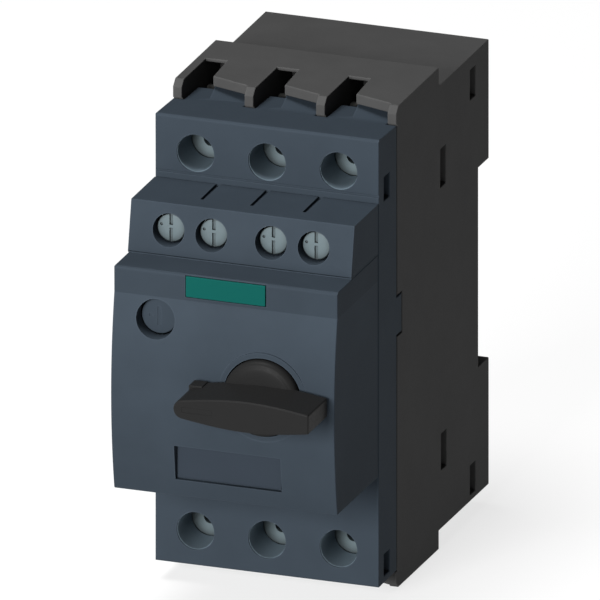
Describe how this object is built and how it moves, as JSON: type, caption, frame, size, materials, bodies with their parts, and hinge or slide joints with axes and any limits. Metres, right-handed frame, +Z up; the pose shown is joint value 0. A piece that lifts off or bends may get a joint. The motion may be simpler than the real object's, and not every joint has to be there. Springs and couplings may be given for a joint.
{
  "type": "motor protection breaker",
  "caption": "Rail-mounted rotary motor protection breaker with clamp-screw terminals, auxiliary switch block, setting dial and lockable knob.",
  "frame": {"origin": "on the rail's axis in the rail's seating plane, midway between the sides", "axes": "+X right seen from the front, +Y to the rear, out of the rail seat, +Z up"},
  "size_m": [0.045, 0.097, 0.097],
  "materials": {
    "dark_plastic": "fine moulded satin",
    "grey_plastic": "fine moulded satin, blue-grey",
    "black_plastic": "moulded, slightly glossier",
    "teal_plate": "smooth printed plate",
    "label": "blank label strip",
    "white_plastic": "natural moulding",
    "bimetal": "rolled strip",
    "copper": "bright copper",
    "zinc_steel": "zinc-plated",
    "steel": "plated sheet"
  },
  "bodies": {
    "body": {"base_housing": "dark_plastic", "front_housing": "grey_plastic", "front_cover": "grey_plastic", "name_plate": "teal_plate", "inscription_label": "label", "aux_switch_housing": "grey_plastic", "latch_frame": "steel", "line_terminal_bar_1": "copper", "line_terminal_bar_2": "copper", "line_terminal_bar_3": "copper", "load_terminal_bar_1": "copper", "load_terminal_bar_2": "copper", "load_terminal_bar_3": "copper", "arc_chute_1": "steel", "arc_chute_2": "steel", "arc_chute_3": "steel", "magnet_coil_1": "copper", "magnet_coil_2": "copper", "magnet_coil_3": "copper", "bimetal_1": "bimetal", "bimetal_2": "bimetal", "bimetal_3": "bimetal", "aux_terminal_bar_1": "copper", "aux_terminal_bar_2": "copper", "aux_terminal_bar_3": "copper", "aux_terminal_bar_4": "copper"},
    "knob": {"rotary_knob": "black_plastic", "knob_shaft": "steel"},
    "padlock": {"padlock_slide": "black_plastic"},
    "dial": {"setting_dial": "grey_plastic"},
    "carrier": {"contact_carrier": "dark_plastic", "moving_contact_1": "copper", "moving_contact_2": "copper", "moving_contact_3": "copper", "aux_contact_bridge": "copper"},
    "trip": {"trip_slide": "white_plastic"},
    "rail_lock": {"rail_latch": "dark_plastic"},
    "plunger_1": {"magnet_plunger_1": "steel"},
    "plunger_2": {"magnet_plunger_2": "steel"},
    "plunger_3": {"magnet_plunger_3": "steel"},
    "clamp_line_1": {"clamp_saddle_line_1": "steel"},
    "screw_line_1": {"terminal_screw_line_1": "zinc_steel"},
    "clamp_line_2": {"clamp_saddle_line_2": "steel"},
    "screw_line_2": {"terminal_screw_line_2": "zinc_steel"},
    "clamp_line_3": {"clamp_saddle_line_3": "steel"},
    "screw_line_3": {"terminal_screw_line_3": "zinc_steel"},
    "clamp_load_1": {"clamp_saddle_load_1": "steel"},
    "screw_load_1": {"terminal_screw_load_1": "zinc_steel"},
    "clamp_load_2": {"clamp_saddle_load_2": "steel"},
    "screw_load_2": {"terminal_screw_load_2": "zinc_steel"},
    "clamp_load_3": {"clamp_saddle_load_3": "steel"},
    "screw_load_3": {"terminal_screw_load_3": "zinc_steel"},
    "aux_clamp_1": {"aux_clamp_1": "steel"},
    "aux_screw_1": {"aux_screw_1": "zinc_steel"},
    "aux_clamp_2": {"aux_clamp_2": "steel"},
    "aux_screw_2": {"aux_screw_2": "zinc_steel"},
    "aux_clamp_3": {"aux_clamp_3": "steel"},
    "aux_screw_3": {"aux_screw_3": "zinc_steel"},
    "aux_clamp_4": {"aux_clamp_4": "steel"},
    "aux_screw_4": {"aux_screw_4": "zinc_steel"}
  },
  "joints": [
    {"name": "knob_turn", "type": "hinge", "parent": "body", "child": "knob", "pos_m": [0.008, 0, 0], "axis": [0, 1, 0], "range_deg": [0, 90]},
    {"name": "padlock_pull", "type": "slide", "parent": "knob", "child": "padlock", "axis": [0, -1, 0], "range_m": [0, 0.008]},
    {"name": "dial_turn", "type": "hinge", "parent": "body", "child": "dial", "pos_m": [-0.0139, 0, 0.0127], "axis": [0, 1, 0], "range_deg": [-120, 120]},
    {"name": "carrier_slide", "type": "slide", "parent": "body", "child": "carrier", "axis": [0, 1, 0], "range_m": [0, 0.0028]},
    {"name": "trip_slide_push", "type": "slide", "parent": "body", "child": "trip", "axis": [1, 0, 0], "range_m": [0, 0.0012], "stiffness_N_per_m": 200},
    {"name": "rail_latch_pull", "type": "slide", "parent": "body", "child": "rail_lock", "axis": [0, 0, -1], "range_m": [0, 0.003], "stiffness_N_per_m": 1000},
    {"name": "plunger_1_pull", "type": "slide", "parent": "body", "child": "plunger_1", "axis": [0, -1, 0], "range_m": [0, 0.002], "stiffness_N_per_m": 200},
    {"name": "plunger_2_pull", "type": "slide", "parent": "body", "child": "plunger_2", "axis": [0, -1, 0], "range_m": [0, 0.002], "stiffness_N_per_m": 200},
    {"name": "plunger_3_pull", "type": "slide", "parent": "body", "child": "plunger_3", "axis": [0, -1, 0], "range_m": [0, 0.002], "stiffness_N_per_m": 200},
    {"name": "clamp_line_1_travel", "type": "slide", "parent": "body", "child": "clamp_line_1", "axis": [0, 1, 0], "range_m": [0, 0.0042]},
    {"name": "screw_line_1_turn", "type": "hinge", "parent": "clamp_line_1", "child": "screw_line_1", "pos_m": [-0.0144, -0.0382, 0.038], "axis": [0, 1, 0], "range_deg": [0, 2160]},
    {"name": "clamp_line_2_travel", "type": "slide", "parent": "body", "child": "clamp_line_2", "axis": [0, 1, 0], "range_m": [0, 0.0042]},
    {"name": "screw_line_2_turn", "type": "hinge", "parent": "clamp_line_2", "child": "screw_line_2", "pos_m": [0, -0.0382, 0.038], "axis": [0, 1, 0], "range_deg": [0, 2160]},
    {"name": "clamp_line_3_travel", "type": "slide", "parent": "body", "child": "clamp_line_3", "axis": [0, 1, 0], "range_m": [0, 0.0042]},
    {"name": "screw_line_3_turn", "type": "hinge", "parent": "clamp_line_3", "child": "screw_line_3", "pos_m": [0.0144, -0.0382, 0.038], "axis": [0, 1, 0], "range_deg": [0, 2160]},
    {"name": "clamp_load_1_travel", "type": "slide", "parent": "body", "child": "clamp_load_1", "axis": [0, 1, 0], "range_m": [0, 0.0042]},
    {"name": "screw_load_1_turn", "type": "hinge", "parent": "clamp_load_1", "child": "screw_load_1", "pos_m": [-0.0144, -0.0382, -0.038], "axis": [0, 1, 0], "range_deg": [0, 2160]},
    {"name": "clamp_load_2_travel", "type": "slide", "parent": "body", "child": "clamp_load_2", "axis": [0, 1, 0], "range_m": [0, 0.0042]},
    {"name": "screw_load_2_turn", "type": "hinge", "parent": "clamp_load_2", "child": "screw_load_2", "pos_m": [0, -0.0382, -0.038], "axis": [0, 1, 0], "range_deg": [0, 2160]},
    {"name": "clamp_load_3_travel", "type": "slide", "parent": "body", "child": "clamp_load_3", "axis": [0, 1, 0], "range_m": [0, 0.0042]},
    {"name": "screw_load_3_turn", "type": "hinge", "parent": "clamp_load_3", "child": "screw_load_3", "pos_m": [0.0144, -0.0382, -0.038], "axis": [0, 1, 0], "range_deg": [0, 2160]},
    {"name": "aux_clamp_1_travel", "type": "slide", "parent": "body", "child": "aux_clamp_1", "axis": [0, 1, 0], "range_m": [0, 0.001]},
    {"name": "aux_screw_1_turn", "type": "hinge", "parent": "aux_clamp_1", "child": "aux_screw_1", "pos_m": [-0.0146, -0.0663, 0.0274], "axis": [0, 1, 0], "range_deg": [0, 720]},
    {"name": "aux_clamp_2_travel", "type": "slide", "parent": "body", "child": "aux_clamp_2", "axis": [0, 1, 0], "range_m": [0, 0.001]},
    {"name": "aux_screw_2_turn", "type": "hinge", "parent": "aux_clamp_2", "child": "aux_screw_2", "pos_m": [-0.006, -0.0663, 0.0274], "axis": [0, 1, 0], "range_deg": [0, 720]},
    {"name": "aux_clamp_3_travel", "type": "slide", "parent": "body", "child": "aux_clamp_3", "axis": [0, 1, 0], "range_m": [0, 0.001]},
    {"name": "aux_screw_3_turn", "type": "hinge", "parent": "aux_clamp_3", "child": "aux_screw_3", "pos_m": [0.006, -0.0663, 0.0274], "axis": [0, 1, 0], "range_deg": [0, 720]},
    {"name": "aux_clamp_4_travel", "type": "slide", "parent": "body", "child": "aux_clamp_4", "axis": [0, 1, 0], "range_m": [0, 0.001]},
    {"name": "aux_screw_4_turn", "type": "hinge", "parent": "aux_clamp_4", "child": "aux_screw_4", "pos_m": [0.0146, -0.0663, 0.0274], "axis": [0, 1, 0], "range_deg": [0, 720]}
  ],
  "couplings": [
    {"joint": "knob_turn", "follows": "carrier_slide", "rad_per_m": 560.99},
    {"joint": "screw_line_1_turn", "follows": "clamp_line_1_travel", "rad_per_m": 8975},
    {"joint": "screw_line_2_turn", "follows": "clamp_line_2_travel", "rad_per_m": 8975},
    {"joint": "screw_line_3_turn", "follows": "clamp_line_3_travel", "rad_per_m": 8975},
    {"joint": "screw_load_1_turn", "follows": "clamp_load_1_travel", "rad_per_m": 8975},
    {"joint": "screw_load_2_turn", "follows": "clamp_load_2_travel", "rad_per_m": 8975},
    {"joint": "screw_load_3_turn", "follows": "clamp_load_3_travel", "rad_per_m": 8975},
    {"joint": "aux_screw_1_turn", "follows": "aux_clamp_1_travel", "rad_per_m": 12566},
    {"joint": "aux_screw_2_turn", "follows": "aux_clamp_2_travel", "rad_per_m": 12566},
    {"joint": "aux_screw_3_turn", "follows": "aux_clamp_3_travel", "rad_per_m": 12566},
    {"joint": "aux_screw_4_turn", "follows": "aux_clamp_4_travel", "rad_per_m": 12566}
  ]
}
